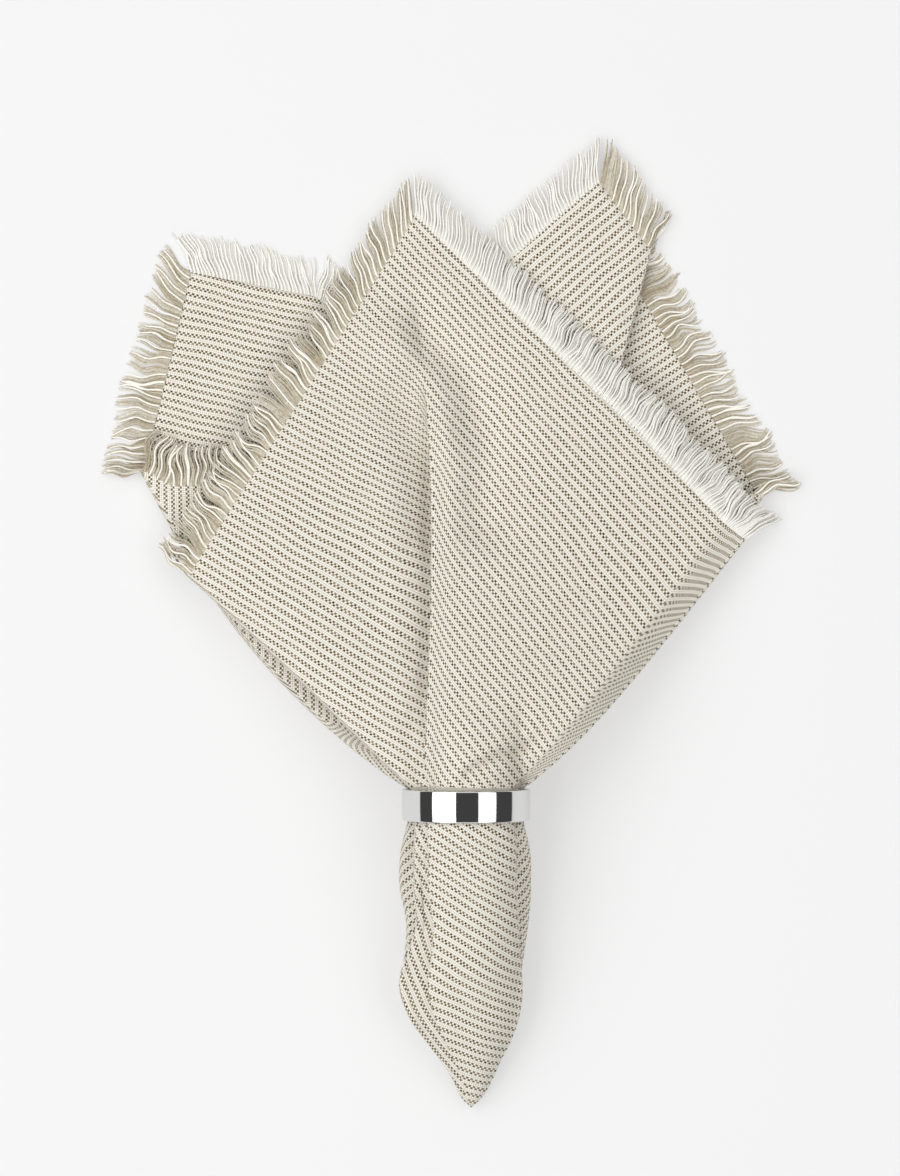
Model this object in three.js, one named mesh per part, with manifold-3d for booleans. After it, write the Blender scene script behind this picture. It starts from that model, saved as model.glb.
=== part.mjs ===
import * as THREE from "three";
import Module from "manifold-3d";

const wasm = await Module();
wasm.setup();

// Sizes in millimetres; X to the right, Y from the tail to the fan, Z up from the table.
const ringOuterRadius = 22.5;
const ringWall = 1.2;
const ringWidth = 11;
const ringBevel = 0.4;
const ringFacets = 60;

const clothThick = 1.0;
const bundleRadius = 20.2;
const flareLength = 38;
const sideChord = 7.5;
const fanTop = 43;
const fanHem = 5;
const fanSpread = 104;
const fanPower = 1.6;
const tuckDrop = 1.5;
const tuckUnfold = 9;
const tailUnfoldFrom = -8;
const tailUnfoldTo = -66;
const tailSettleFrom = -44;
const tailSettleTo = -90;
const tailSquareness = 2.4;
const tailSideChord = 0.62;

const fringeGap = 0.35;
const stripWidth = 1.2;
const stripThick = 0.9;
const strandLength = 12;
const strandRoot = 0.62;
const strandEnd = 0.34;

// Tail outline, a row for each section: y, left, right, bottom, top.
const tail = [
  [-106.0, -0.6, 4.6, 1.4, 6.4],
  [-103.6, -2.4, 6.6, 0.8, 8.6],
  [-99.0, -4.2, 9.2, 0.6, 12.0],
  [-92.0, -8.6, 12.4, 0.5, 16.5],
  [-84.0, -14.6, 16.6, 0.5, 21.0],
  [-77.0, -19.8, 19.2, 0.5, 24.5],
  [-70.0, -22.8, 20.6, 0.5, 27.0],
  [-62.0, -24.4, 21.2, 0.5, 29.5],
  [-52.9, -22.6, 21.7, 0.5, 32.0],
  [-42.7, -21.2, 22.4, 0.5, 34.0],
  [-29.4, -23.0, 22.9, 0.5, 37.0],
  [-16.0, -22.4, 22.4, 0.9, 40.0],
  [-6.5, -20.2, 20.2, 2.3, 42.7],
];
const tailTip = [1.9, -108.4, 3.4];
const solidRows = 2;

// Folds in order round the hem, a row each. turn: 1 right fold, -1 left fold, 0 a point on a layer.
// ringAt, tipAt: place across the bundle as a share of its half width; tipLevel: height share at the tip.
// ringIn, ringOut, hemIn, hemOut: height share on reaching and on leaving the fold; hemX, hemY: its hem end.
// bulgeRing, bulgeHem: how far the turn rounds out; bow: sideways bend on the way, early below 1 near the ring.
// tuckIn, tuckOut: drops under the front layer; fill: columns to the next row.
const foldColumns = [
  "name", "turn", "ringAt", "tipAt", "tipLevel", "ringIn", "ringOut", "hemIn", "hemOut",
  "hemX", "hemY", "bulgeRing", "bulgeHem", "bow", "early", "tuckIn", "tuckOut", "fill",
];
const folds = [
  ["front_corner", 0, -0.62, -0.4, 1, 1, 1, 1, 1, -18, 208.2, 0, 0, 5, 1.15, 0, 0, 4],
  ["front_right", 0, 0.08, 0.2, 1, 1, 1, 1, 1, 61, 131, 0, 0, 0, 1, 0, 0, 2],
  ["right_shoulder", 0, 0.78, 0.8, 0.96, 1, 1, 1, 1, 90.6, 99.6, 0, 0, 3, 0.7, 0, 0, 1],
  ["right_fold", 1, 0.9, 0.93, 0.78, 0.88, 0.72, 0.9, 0.8, 98, 94, 0.9, 1.2, 6, 0.6, 0, 0, 2],
  ["pleat_left", -1, 0.15, 0.94, 0.73, 0.72, 0.67, 0.8, 0.72, 34, 150, 0.9, 0.7, 0, 1, 0, 0, 1],
  ["pleat_right", 1, 0.7, 0.95, 0.68, 0.67, 0.62, 0.72, 0.64, 81, 108, 0.9, 0.7, 2, 0.6, 0, 0, 2],
  ["hidden_corner", -1, -0.33, 0.96, 0.64, 0.62, 0.55, 0.64, 0.5, -15, 194, 1.2, 0.8, 0, 1, 0, 0, 3],
  ["inner_right", 1, 0.74, 0.96, 0.52, 0.55, 0.47, 0.58, 0.49, 76, 92, 1.2, 0.8, 3, 0.6, 0, 0, 2],
  ["inner_left", -1, -0.33, 0.95, 0.38, 0.47, 0.38, 0.49, 0.4, -7, 112, 1.2, 0.8, 0, 1, 0, 0, 2],
  ["back_right_fold", 1, 0.88, 0.86, 0.16, 0.38, 0.03, 0.4, 0, 102, 113, 1.7, 2.0, 6, 0.6, 0, 0, 3],
  ["back_pleat_left", -1, 0, 0.6, 0, 0.03, 0.13, 0, 0.2, 52, 189, 1.0, 0.6, 0, 1, 0, 0, 1],
  ["right_flap_fold", 1, 0.72, 0.36, 0, 0.13, 0.3, 0.2, 0.4, 65.5, 196.5, 1.6, 0.6, 0, 1, 0, 0, 1],
  ["right_flap_corner", 0, 0.3, 0.2, 0, 0.3, 0.3, 0.4, 0.4, 47.4, 220.5, 0, 0, 0, 1, 0, 0, 1],
  ["right_flap_edge", 0, 0, 0.05, 0, 0.3, 0.3, 0.32, 0.32, 19.2, 196.1, 0, 0, 0, 1, 0, 0, 2],
  ["back_left", -1, -0.74, -0.1, 0, 0.3, 0.23, 0.26, 0.13, -62, 120, 1.0, 0.8, 0, 1, 0, 0, 2],
  ["back_right", 1, -0.1, -0.36, 0, 0.23, 0.16, 0.13, 0.01, 24, 123, 1.0, 0.8, 0, 1, 0, 0, 2],
  ["left_flap_edge", 0, -0.3, -0.5, 0, 0.16, 0.16, 0, 0, -53.3, 179.9, 0, 0, 0, 1, 0, 0, 1],
  ["left_flap_corner", 0, -0.5, -0.65, 0, 0.16, 0.16, 0, 0, -98.2, 188.7, 0, 0, -3, 0.6, 0, 0, 2],
  ["left_flap_fold", -1, -0.88, -0.9, 0.18, 0.16, 0.56, 0, 0.36, -116, 121, 2.0, 1.6, -7, 0.6, 0, 0, 0],
  ["left_triangle", 0, -0.8, -0.93, 0.3, 0.58, 0.58, 0.38, 0.38, -108, 111.5, 0, 0, -6, 0.6, 0, 0, 2],
  ["inner_back", 1, -0.46, -0.96, 0.4, 0.58, 0.66, 0.42, 0.54, -21, 114, 1.0, 1.2, 0, 1, 0, 0, 1],
  ["inner_middle", -1, -0.72, -0.97, 0.5, 0.66, 0.74, 0.54, 0.64, -64, 103, 1.0, 1.0, 0, 1, 0, 0, 1],
  ["inner_front", 1, -0.46, -0.96, 0.62, 0.74, 0.81, 0.64, 0.76, -24, 104, 1.0, 1.2, 0, 1, 0, 0, 2],
  ["left_fold", -1, -0.88, -0.95, 0.8, 0.81, 0.94, 0.76, 1, -95.6, 84.5, 0.9, 1.4, -6, 0.6, 0, 0, 2],
  ["front_left", 0, -0.8, -0.75, 0.97, 0.98, 0.98, 1, 1, -57, 145.6, 0, 0, 0, 1, 1.6, 1.6, 2],
  ["tuck_under", 1, 0.47, -0.6, 1, 1, 1, 1, 1, -25.4, 196.3, 0, 0, 5.5, 1.15, 2, 1, 1],
  ["tuck_edge", -1, -0.72, -0.52, 1, 1, 1, 1, 1, -20.6, 204, 0, 0, 5.5, 1.15, 1, 0, 0],
].map((row) => Object.fromEntries(row.map((value, i) => [foldColumns[i], value])));

// Runs of hem that carry fringe: name, first fold, last fold, share of the run used, strands.
const fringeRuns = [
  ["fringe_front_left", "left_fold", "tuck_under", 0.03, 0.97, 46],
  ["fringe_front_right", "front_corner", "right_shoulder", 0.02, 0.99, 50],
  ["fringe_left_flap_side", "left_flap_corner", "left_flap_fold", 0.05, 0.97, 24],
  ["fringe_left_flap_top", "left_flap_edge", "left_flap_corner", 0.05, 0.96, 15],
  ["fringe_left_triangle", "left_triangle", "inner_back", 0.03, 0.4, 12],
  ["fringe_right_flap_top", "right_flap_corner", "right_flap_edge", 0.05, 0.95, 13],
  ["fringe_right_flap_side", "right_flap_fold", "right_flap_corner", 0.06, 0.94, 10],
  ["fringe_back_right", "back_right_fold", "back_pleat_left", 0.02, 0.8, 26],
];

// Stations along the cloth: tail sections by y, then the ring, then shares of the way to the hem.
const tailRows = [-106, -103, -97, -89, -80, -71, -62, -52, -42, -30, -17];
const ringRows = [-ringWidth / 2, ringWidth / 2];
const fanRows = [0.08, 0.17, 0.28, 0.4, 0.54, 0.7, 0.86, 1];
const hairpin = [0, 0.3, 0.7, 1];

const mix = (a, b, share) => a + (b - a) * share;
const clamp = (value, low, high) => Math.min(high, Math.max(low, value));
function smooth(from, to, value) {
  const share = clamp((value - from) / (to - from), 0, 1);
  return share * share * (3 - 2 * share);
}

function tailSection(y) {
  let i = 0;
  while (i < tail.length - 2 && y > tail[i + 1][0]) i += 1;
  const share = clamp((y - tail[i][0]) / (tail[i + 1][0] - tail[i][0]), 0, 1);
  return tail[i].map((value, c) => mix(value, tail[i + 1][c], share));
}

// Lowest and highest cloth at a place: a disc in the ring, a squarish oval in the tail, a low dome in the fan.
function bounds(x, y) {
  if (y < -7) {
    const [, left, right, bottom, top] = tailSection(y);
    const across = Math.abs(x - (left + right) / 2) / ((right - left) / 2);
    const chord = Math.pow(Math.max(1 - Math.pow(across, tailSquareness), 0), 1 / tailSquareness);
    const half = ((top - bottom) / 2) * Math.max(chord, tailSideChord);
    const middle = mix(bottom + half, (top + bottom) / 2, smooth(-30, -7, y));
    return [middle - half, middle + half];
  }
  const half = Math.sqrt(Math.max(bundleRadius ** 2 - x * x, sideChord ** 2));
  const held = 1 - smooth(0, flareLength, y - ringWidth / 2);
  const out = Math.hypot(x, Math.max(y, 0));
  const dome = fanHem + (fanTop - fanHem) * Math.exp(-Math.pow(out / fanSpread, fanPower));
  return [
    mix(clothThick / 2, ringOuterRadius - half, held),
    mix(dome, ringOuterRadius + half, held),
  ];
}

// One column of the cloth for each point of each fold and of each layer between two folds.
// A fold is a rounded turn at the ring and at the hem, and lies open towards the tip.
function foldPoint(k, share) {
  const fold = folds[k];
  const before = folds[(k + folds.length - 1) % folds.length];
  const after = folds[(k + 1) % folds.length];
  const out = fold.turn ? Math.sin(Math.PI * share) : 0;
  const turned = (1 - Math.cos(Math.PI * share)) / 2;
  const along = new THREE.Vector2(fold.hemX - before.hemX, fold.hemY - before.hemY).normalize();
  const open = fold.turn ? (share - 0.5) / 2 : 0;
  const beside = open < 0 ? before : after;
  return {
    ringAt: fold.ringAt,
    rounding: (fold.turn * fold.bulgeRing * out) / bundleRadius,
    ringLevel: mix(fold.ringIn, fold.ringOut, turned),
    hemX: fold.hemX + along.x * fold.bulgeHem * out,
    hemY: fold.hemY + along.y * fold.bulgeHem * out,
    hemLevel: mix(fold.hemIn, fold.hemOut, turned),
    tipAt: mix(fold.tipAt, beside.tipAt, Math.abs(open)),
    tipLevel: mix(fold.tipLevel, beside.tipLevel, Math.abs(open)),
    tuck: mix(fold.tuckIn, fold.tuckOut, turned),
    bow: fold.bow,
    early: fold.early,
  };
}

const columns = [];
const spans = {};
folds.forEach((fold, k) => {
  const first = columns.length;
  const turns = fold.turn ? hairpin : [0];
  for (const share of turns) columns.push(foldPoint(k, share));
  spans[fold.name] = [first, columns.length - 1];
  const leave = columns[columns.length - 1];
  const reach = foldPoint((k + 1) % folds.length, 0);
  for (let i = 1; i <= fold.fill; i++) {
    const share = i / (fold.fill + 1);
    const keys = Object.keys(leave);
    columns.push(Object.fromEntries(keys.map((key) => [key, mix(leave[key], reach[key], share)])));
  }
});

// Middle of the cloth where a column crosses a station.
function clothPoint(column, station, tucked) {
  let x, y, level;
  if (station.y !== undefined) {
    const [left, right] = station.y < -7 ? tailSection(station.y).slice(1) : [-bundleRadius, bundleRadius];
    const open = smooth(tailUnfoldFrom, tailUnfoldTo, station.y);
    const across = mix(column.ringAt, column.tipAt, open) + column.rounding * (1 - open) ** 3;
    x = mix(left, right, (1 + across) / 2);
    y = station.y;
    level = mix(column.ringLevel, column.tipLevel, smooth(tailSettleFrom, tailSettleTo, station.y));
  } else {
    x = mix((column.ringAt + column.rounding) * bundleRadius, column.hemX, station.t);
    x += column.bow * Math.sin(Math.PI * Math.pow(station.t, column.early));
    y = mix(ringWidth / 2, column.hemY, station.t);
    level = mix(column.ringLevel, column.hemLevel, smooth(0, 0.6, station.t));
  }
  const [low, high] = bounds(x, y);
  return new THREE.Vector3(x, y, Math.max(mix(low, high, level) - column.tuck * tucked, low));
}

// One closed line of points round the cloth at a station; the tuck flattens where it is no longer folded.
function clothLine(station) {
  const under = clothPoint(columns[spans.tuck_under[1]], station, 0);
  const edge = clothPoint(columns[spans.tuck_edge[0]], station, 0);
  const tucked = tuckDrop * clamp(1 + (under.x - edge.x) / tuckUnfold, 0, 1);
  return columns.map((column) => clothPoint(column, station, tucked));
}

// Closed solid between an outer and an inner grid of points; each grid's first row closes on a tip.
function sheetGeometry(outer, inner, outerTip, innerTip) {
  const positions = [];
  const put = (p) => positions.push(p.x, p.y, p.z) / 3 - 1;
  const outerRows = outer.map((row) => row.map(put));
  const innerRows = inner.map((row) => row.map(put));
  const a = put(outerTip);
  const b = put(innerTip);
  const index = [];
  const count = outer[0].length;
  const outerHem = outerRows[outerRows.length - 1];
  const innerHem = innerRows[innerRows.length - 1];
  for (let c = 0; c < count; c++) {
    const d = (c + 1) % count;
    index.push(a, outerRows[0][d], outerRows[0][c]);
    index.push(b, innerRows[0][c], innerRows[0][d]);
    for (let r = 0; r + 1 < outerRows.length; r++) {
      const [low, high] = [outerRows[r], outerRows[r + 1]];
      index.push(low[c], low[d], high[d], low[c], high[d], high[c]);
    }
    for (let r = 0; r + 1 < innerRows.length; r++) {
      const [low, high] = [innerRows[r], innerRows[r + 1]];
      index.push(low[c], high[d], low[d], low[c], high[c], high[d]);
    }
    index.push(outerHem[c], outerHem[d], innerHem[d]);
    index.push(outerHem[c], innerHem[d], innerHem[c]);
  }
  const geometry = new THREE.BufferGeometry();
  geometry.setAttribute("position", new THREE.Float32BufferAttribute(positions, 3));
  geometry.setIndex(index);
  return geometry;
}

const stations = [
  ...tailRows.map((y) => ({ y })),
  ...ringRows.map((y) => ({ y })),
  ...fanRows.map((t) => ({ t })),
];
const middle = stations.map(clothLine);

// Direction out of the cloth's outer face at a point of the grid.
function facing(r, c) {
  const count = middle[0].length;
  const low = middle[Math.max(r - 1, 0)][c];
  const high = middle[Math.min(r + 1, middle.length - 1)][c];
  const upward = new THREE.Vector3().subVectors(high, low).normalize();
  const here = middle[r][c];
  const back = new THREE.Vector3().subVectors(here, middle[r][(c + count - 1) % count]).normalize();
  const on = new THREE.Vector3().subVectors(middle[r][(c + 1) % count], here).normalize();
  return back.add(on).cross(upward).normalize();
}

function clothGeometry() {
  const half = clothThick / 2;
  const shift = (by) =>
    middle.map((row, r) => row.map((p, c) => p.clone().addScaledVector(facing(r, c), by)));
  const tip = new THREE.Vector3(...tailTip);
  const hollow = middle[solidRows];
  const inside = hollow.reduce((sum, p) => sum.add(p), new THREE.Vector3()).divideScalar(hollow.length);
  return sheetGeometry(shift(half), shift(-half).slice(solidRows), tip, inside);
}

// Closed solid through a list of rings of points, with flat ends.
function loft(rings) {
  const count = rings[0].length;
  const vertProperties = new Float32Array(rings.flat().flatMap((p) => [p.x, p.y, p.z]));
  const triVerts = [];
  for (let r = 0; r + 1 < rings.length; r++) {
    for (let c = 0; c < count; c++) {
      const d = (c + 1) % count;
      const low = r * count;
      const high = low + count;
      triVerts.push(low + c, low + d, high + d, low + c, high + d, high + c);
    }
  }
  const top = (rings.length - 1) * count;
  for (let c = 1; c + 1 < count; c++) {
    triVerts.push(0, c + 1, c);
    triVerts.push(top, top + c, top + c + 1);
  }
  const mesh = new wasm.Mesh({ numProp: 3, vertProperties, triVerts: new Uint32Array(triVerts) });
  return new wasm.Manifold(mesh);
}

// Ring of points round a place: across and up are directions, round is a list of [across, up] sizes.
function around(place, across, up, round) {
  return round.map(([a, b]) => place.clone().addScaledVector(across, a).addScaledVector(up, b));
}

// A run of hem as points with their outward direction and face direction.
function hemRun(first, last, from, to) {
  const row = middle.length - 1;
  const points = middle[row];
  const start = spans[first][1];
  const stop = spans[last][0];
  const steps = stop - start;
  const place = (share) => {
    const at = clamp(share * steps, 0, steps);
    const i = Math.min(Math.floor(at), steps - 1);
    const a = points[start + i];
    const b = points[start + i + 1];
    const along = new THREE.Vector3().subVectors(b, a).normalize();
    const inner = mix3(middle[row - 1][start + i], middle[row - 1][start + i + 1], at - i);
    const point = mix3(a, b, at - i);
    const up = new THREE.Vector3().crossVectors(along, point.clone().sub(inner)).normalize();
    return { point, along, up, out: new THREE.Vector3().crossVectors(up, along) };
  };
  return { at: (share) => place(mix(from, to, share)), steps };
}
const mix3 = (a, b, share) => new THREE.Vector3().lerpVectors(a, b, share);

function strand(root, length, lean) {
  const rings = [0, 0.55, 1].map((share) => {
    const size = mix(strandRoot, strandEnd, share);
    const place = root.point.clone().addScaledVector(root.out, fringeGap + stripWidth * 0.6 + length * share);
    place.addScaledVector(root.along, lean * share * share);
    return around(place, root.along, root.up, [
      [size, -size * 0.5],
      [-size, -size * 0.5],
      [0, size * 0.62],
    ]);
  });
  return loft(rings);
}

function fringe(first, last, from, to, count) {
  const run = hemRun(first, last, from, to);
  const half = stripThick / 2;
  const segments = run.steps + 1;
  const rings = [];
  for (let i = 0; i <= segments; i++) {
    const { point, out, up } = run.at(i / segments);
    const place = point.clone().addScaledVector(out, fringeGap);
    rings.push(around(place, out, up, [[0, half], [0, -half], [stripWidth, -half], [stripWidth, half]]));
  }
  const parts = [loft(rings)];
  for (let i = 0; i < count; i++) {
    const share = (i + 0.5) / count;
    const wave = Math.sin(i * 2.4) + 0.6 * Math.sin(i * 0.9 + 1);
    const length = strandLength * (1 + 0.07 * Math.sin(i * 1.7));
    parts.push(strand(run.at(share), length, 0.42 * wave));
  }
  return wasm.Manifold.union(parts);
}

function geometryOf(solid) {
  const mesh = solid.getMesh();
  const geometry = new THREE.BufferGeometry();
  geometry.setAttribute("position", new THREE.BufferAttribute(mesh.vertProperties, 3));
  geometry.setIndex(new THREE.BufferAttribute(mesh.triVerts, 1));
  return geometry;
}

// Flat band round Y with a facet on the table.
function ringGeometry() {
  const reach = 1 / Math.cos(Math.PI / ringFacets);
  const outer = ringOuterRadius * reach;
  const inner = (ringOuterRadius - ringWall) * reach;
  const half = ringWidth / 2;
  const profile = [
    [inner, -half],
    [outer - ringBevel, -half],
    [outer, -half + ringBevel],
    [outer, half - ringBevel],
    [outer - ringBevel, half],
    [inner, half],
    [inner, -half],
  ].map(([x, y]) => new THREE.Vector2(x, y));
  const geometry = new THREE.LatheGeometry(profile, ringFacets);
  geometry.rotateY(Math.PI / ringFacets);
  geometry.translate(0, 0, ringOuterRadius);
  return geometry;
}

const cloth = new THREE.MeshStandardMaterial({ color: 0xcfc9bb, roughness: 0.95 });
const creamYarn = new THREE.MeshStandardMaterial({ color: 0xebe9e3, roughness: 0.95 });
const beigeYarn = new THREE.MeshStandardMaterial({ color: 0xc9c1b2, roughness: 0.95 });
const metal = new THREE.MeshStandardMaterial({ color: 0xdadada, roughness: 0.1, metalness: 1 });

const napkin = new THREE.Group();
function add(name, geometry, material) {
  const mesh = new THREE.Mesh(geometry, material);
  mesh.name = name;
  napkin.add(mesh);
}

add("napkin_cloth", clothGeometry(), cloth);
const creamRuns = ["fringe_front_right", "fringe_left_flap_top", "fringe_right_flap_top"];
for (const [name, first, last, from, to, count] of fringeRuns) {
  const solid = fringe(first, last, from, to, count);
  add(name, geometryOf(solid), creamRuns.includes(name) ? creamYarn : beigeYarn);
}
add("napkin_ring", ringGeometry(), metal);

export default napkin;
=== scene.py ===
import math
import bpy
import numpy as np
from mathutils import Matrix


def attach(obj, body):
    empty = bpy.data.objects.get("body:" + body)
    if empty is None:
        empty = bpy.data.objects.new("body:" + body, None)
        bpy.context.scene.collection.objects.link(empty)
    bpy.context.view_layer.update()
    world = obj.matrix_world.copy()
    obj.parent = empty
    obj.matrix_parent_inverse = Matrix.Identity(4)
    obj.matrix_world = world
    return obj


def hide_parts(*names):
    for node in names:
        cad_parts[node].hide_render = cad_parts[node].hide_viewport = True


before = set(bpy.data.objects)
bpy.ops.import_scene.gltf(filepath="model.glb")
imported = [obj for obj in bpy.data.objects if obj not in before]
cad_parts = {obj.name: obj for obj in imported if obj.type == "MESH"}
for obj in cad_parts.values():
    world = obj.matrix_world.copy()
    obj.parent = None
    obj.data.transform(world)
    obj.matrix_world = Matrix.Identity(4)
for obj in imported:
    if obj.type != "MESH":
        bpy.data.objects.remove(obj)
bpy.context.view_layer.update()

mm = 0.001  # all sizes below are in millimetres, meshes are in metres
white = (1, 1, 1, 1)
noiseFrom, noiseTo = 0.3, 0.7  # where most of a noise texture's values lie


def mix(a, b, share):
    return a + (b - a) * share


def smooth(start, end, value):
    share = np.clip((value - start) / (end - start), 0, 1)
    return share * share * (3 - 2 * share)


def curveThrough(at, knots, values):
    # smooth line through a short table
    slopes = np.gradient(values, knots)
    i = np.clip(np.searchsorted(knots, at) - 1, 0, len(knots) - 2)
    step = knots[i + 1] - knots[i]
    t = np.clip((at - knots[i]) / step, 0, 1)
    bend = values[i] * (1 + 2 * t) * (1 - t) ** 2 + values[i + 1] * t * t * (3 - 2 * t)
    return bend + step * (slopes[i] * t * (1 - t) ** 2 - slopes[i + 1] * t * t * (1 - t))


def meshPiece(name, points, faces, material):
    mesh = bpy.data.meshes.new(name)
    mesh.from_pydata(np.asarray(points) * mm, [], faces)
    mesh.materials.append(material)
    mesh.polygons.foreach_set("use_smooth", [True] * len(mesh.polygons))
    piece = bpy.data.objects.new(name, mesh)
    bpy.context.scene.collection.objects.link(piece)
    return piece


def plainMesh(piece):
    # the piece with its modifiers worked into its mesh
    done = piece.evaluated_get(bpy.context.evaluated_depsgraph_get())
    mesh = bpy.data.meshes.new_from_object(done)
    piece.modifiers.clear()
    piece.data = mesh


def hexColour(code):
    # sRGB hex to linear
    parts = [int(code[i : i + 2], 16) / 255 for i in (1, 3, 5)]
    return tuple([c / 12.92 if c < 0.04045 else ((c + 0.055) / 1.055) ** 2.4 for c in parts] + [1])


def addNode(tree, kind, inputs=None, **settings):
    node = tree.nodes.new(kind)
    for key, value in settings.items():
        setattr(node, key, value)
    for socket, value in (inputs or {}).items():
        if isinstance(value, bpy.types.NodeSocket):
            tree.links.new(value, node.inputs[socket])
        else:
            node.inputs[socket].default_value = value
    return node


def newMaterial(name, surface):
    material = bpy.data.materials.new(name)
    material.use_nodes = True
    shader = material.node_tree.nodes["Principled BSDF"]
    for socket, value in surface.items():
        shader.inputs[socket].default_value = value
    return material, material.node_tree, shader.inputs


# Light, floor and camera
studio = {
    "cameraAt": (-5.6, 75.6, 1420),
    "lens": 122.3,  # on a 36 mm sensor, long side upright
    "floorSide": 16000,
    "floor": "#b3b3b3",
    "floorSurface": {"Roughness": 0.95, "Specular IOR Level": 0.1, "Emission Strength": 0.41},
    "softboxFar": 1500,
    # name, turn round Z, height above the floor and breadth in degrees, length in mm, watts
    "softboxes": (
        ("softboxLeft", 180, 50, 44, 2200, 16.6),
        ("softboxRight", 0, 52, 33, 1500, 5.9),
        ("fillFront", -90, 46, 56, 2600, 12.5),
        ("fillBack", 90, 46, 56, 2600, 12.5),
    ),
    "roomDark": 0.065,
    "roomPale": 0.9,
}


def buildStudio():
    scene = bpy.context.scene
    scene.view_settings.view_transform = "Standard"
    camera = bpy.data.objects.new("camera", bpy.data.cameras.new("camera"))
    camera.data.lens = studio["lens"]
    camera.location = [c * mm for c in studio["cameraAt"]]
    scene.collection.objects.link(camera)
    scene.camera = camera

    half = studio["floorSide"] / 2
    # matt paper on a light table: even and pale, with a faint shadow
    surface = {"Base Color": hexColour(studio["floor"]), "Emission Color": white}
    paper = newMaterial("matt paper on a light table", {**surface, **studio["floorSurface"]})[0]
    corners = [(-half, -half, 0), (half, -half, 0), (half, half, 0), (-half, half, 0)]
    floor = meshPiece("floor", corners, [(0, 1, 2, 3)], paper)

    far = studio["softboxFar"]
    for name, turn, height, breadth, length, watts in studio["softboxes"]:
        lamp = bpy.data.lights.new(name, "AREA")
        lamp.shape = "RECTANGLE"
        lamp.size = length * mm
        lamp.size_y = 2 * far * math.tan(math.radians(breadth / 2)) * mm
        lamp.energy = watts
        box = bpy.data.objects.new(name, lamp)
        a, e = math.radians(turn), math.radians(height)
        toward = (math.cos(a) * math.cos(e), math.sin(a) * math.cos(e), math.sin(e))
        box.location = [far * mm * c for c in toward]
        box.rotation_euler = (math.pi / 2 - e, 0, a + math.pi / 2)
        scene.collection.objects.link(box)

    world = bpy.data.worlds.new("room")
    world.use_nodes = True
    scene.world = world
    tree = world.node_tree
    tree.nodes.clear()
    dark = addNode(tree, "ShaderNodeBackground", {"Color": white, "Strength": studio["roomDark"]})
    pale = addNode(tree, "ShaderNodeBackground", {"Color": white, "Strength": studio["roomPale"]})
    seen = addNode(tree, "ShaderNodeLightPath").outputs["Is Camera Ray"]
    both = addNode(tree, "ShaderNodeMixShader", {0: seen, 1: dark.outputs[0], 2: pale.outputs[0]})
    addNode(tree, "ShaderNodeOutputWorld", {"Surface": both.outputs[0]})


buildStudio()
print("studio ready")


# Cloth
cloth = {
    "side": 450,  # cut square, without its fringe
    "thick": 0.5,
    "frontStep": 2.4,  # mesh columns along the hem of the front panel
    "otherStep": 7.0,
    "turnPoints": 7,  # mesh columns round a fold
    "tailRows": 41,  # tail and ring
    "fanRows": 62,
    "fanRowPower": 1.15,  # rows stand closer near the ring
    "ringHalf": 5.5,
    "ringCentre": 22.5,
    "ringPress": (6, 34),  # the ring presses the layers flat, less and less over this way from it
    "bundleRadius": 20.2,  # gathered cloth inside the ring
    "flareLength": 38,  # way over which the fan leaves the ring's round shape
    "sideChord": 7.5,  # least half height at the sides of the bundle
    "fanTop": 43,  # height of the fan, from the ring down to its hem
    "fanHem": 5,
    "fanSpread": 104,
    "fanPower": 1.6,
    "fanSettle": 0.6,  # share of the way by which the layers have the heights of the hem
    "tuckDrop": 1.9,  # a layer of the tuck lies this much lower
    "tuckHeld": 0.4,  # share of the drop that the ring leaves
    "tuckUnfold": (-2, 9),  # overlap at which the tuck is open and full
    "tailFrom": -17,  # y where the tail has its own section
    "tailLift": (-30, -7),  # y over which the tail rises into the ring
    "tailMiddle": (5.5, -22),  # y over which the folds move to their places in the middle and tip
    "tailEnd": (-30, -70),
    "tailSettle": (-44, -90),  # y over which the layers get the heights of the tip
    "tailRounding": 0.6,  # share of a fold's rounding that the tail loses
    "squareness": 2.4,  # of the tail's section
    "tailSideChord": 0.62,
    "tailTip": (1.9, -108.4, 3.4),
    "floorGap": 0.3,
    "flatRing": 114,  # cloth from its middle to the ring's upper edge
    "stripesTurn": (5, -5),  # stripes of fan and tail meet inside the ring
    "tipTwist": 14,  # degrees that the stripes turn on the way to the tip
    "tipTwistFrom": (-30, -98),
}
# cloth that a fold takes up at ring and hem, and how far its two ends shift apart in the tail
foldWall = {
    "ringHeight": 25,
    "hemHeight": 10,
    "least": 0.5,
    "ringDegree": 2,  # millimetres to a degree
    "tailDegree": 1.4,
    "midShift": 0.125,
    "tipShift": 0.25,
    "tipLevelShift": 0.5,
}

# Tail outline from its tip to the ring
tailColumns = ("y", "left", "right", "bottom", "top")
tailOutline = (
    (-106.0, -0.6, 4.6, 1.4, 6.4),
    (-103.6, -2.4, 6.6, 0.8, 8.6),
    (-99.0, -4.2, 9.2, 0.6, 12.0),
    (-92.0, -8.6, 12.4, 0.5, 16.5),
    (-84.0, -14.6, 16.6, 0.5, 21.0),
    (-77.0, -19.8, 19.2, 0.5, 24.5),
    (-70.0, -22.8, 20.6, 0.5, 27.0),
    (-62.0, -24.4, 21.2, 0.5, 29.5),
    (-52.9, -22.6, 21.7, 0.5, 32.0),
    (-42.7, -21.2, 22.4, 0.5, 34.0),
    (-29.4, -23.0, 22.9, 0.5, 37.0),
    (-16.0, -22.4, 22.4, 0.9, 40.0),
    (-6.5, -20.2, 20.2, 2.3, 42.7),
)
tailTable = dict(zip(tailColumns, np.array(tailOutline).T))

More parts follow.
